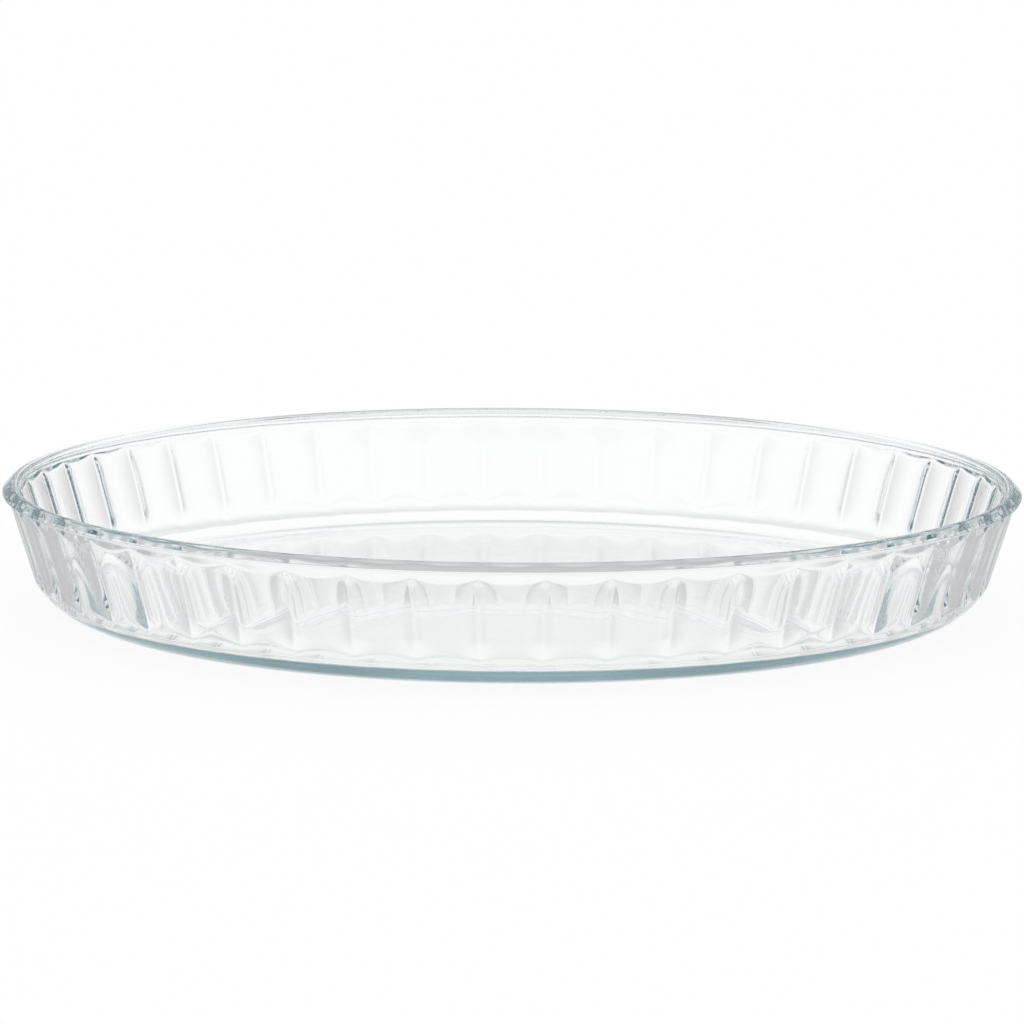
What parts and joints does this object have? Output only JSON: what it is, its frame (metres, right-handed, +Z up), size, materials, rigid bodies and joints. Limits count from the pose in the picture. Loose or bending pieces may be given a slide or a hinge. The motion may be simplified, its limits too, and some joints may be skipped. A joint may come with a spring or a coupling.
{
  "type": "pie dish",
  "caption": "Round flan and pie dish of pressed clear glass, with a fluted wall, a rounded lip that slopes down to a thin edge, and a flat floor.",
  "frame": {"origin": "centre of the flat underside that the dish stands on", "axes": "+Z up along the dish's own axis, -Y towards the viewer, with the crest of one flute on -Y"},
  "size_m": [0.302, 0.302, 0.038],
  "materials": {
    "clear_glass": "polished pressed glass, clear with a faint blue-green tint in thick edges"
  },
  "bodies": {
    "root": {"dish": "clear_glass"}
  },
  "joints": []
}
